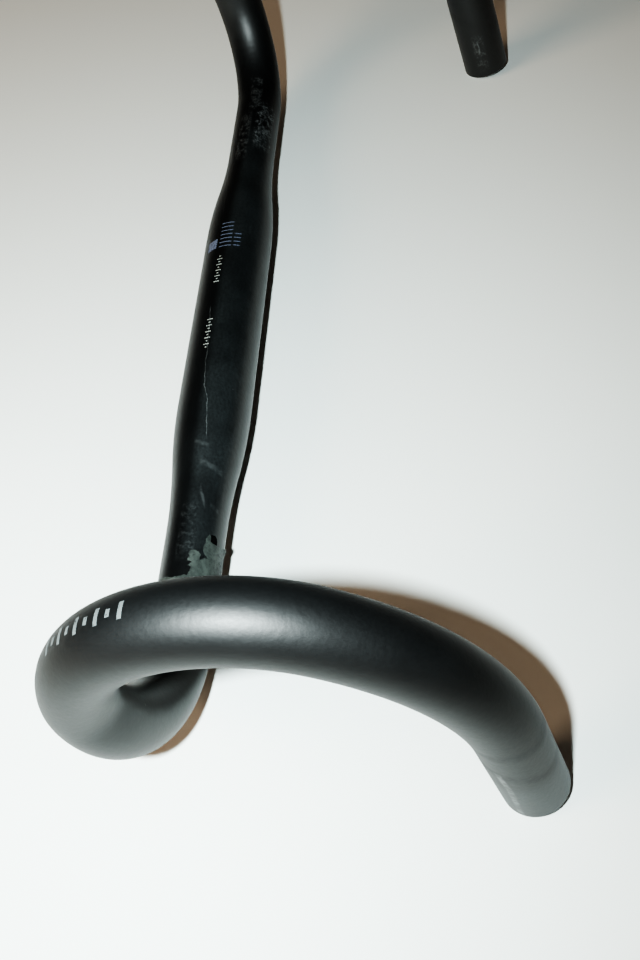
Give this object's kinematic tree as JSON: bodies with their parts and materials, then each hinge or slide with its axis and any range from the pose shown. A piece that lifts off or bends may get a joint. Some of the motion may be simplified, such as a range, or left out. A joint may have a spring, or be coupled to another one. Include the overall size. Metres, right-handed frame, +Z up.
{
  "type": "drop handlebar",
  "caption": "Bare bent-tube road handlebar with a bulged stem clamp section, compact hooks, open drop ends and printed alignment scales.",
  "frame": {"origin": "centre of the stem clamp bulge, on the axis of the tops", "axes": "+X along the tops to the rider's right; +Z up with the bar lying on a table, which is forward (reach) as ridden; +Y away from the tops towards the drop ends, which is down as ridden. The bar is tipped 12.49 degrees about X from square so that it rests on the clamp bulge and both drop-end rims."},
  "size_m": [0.4438, 0.1604, 0.1303],
  "materials": {
    "black_coating": "satin black coating over aluminium, scuffed",
    "white_ink": "thin printed ink, matte",
    "grey_ink": "thin printed ink, matte, worn"
  },
  "bodies": {
    "root": {"handlebar_tube": "black_coating", "stem_scale_right": "white_ink", "stem_scale_left": "white_ink", "print_mark": "grey_ink", "lever_scale_right": "white_ink", "lever_scale_left": "white_ink"}
  },
  "joints": []
}
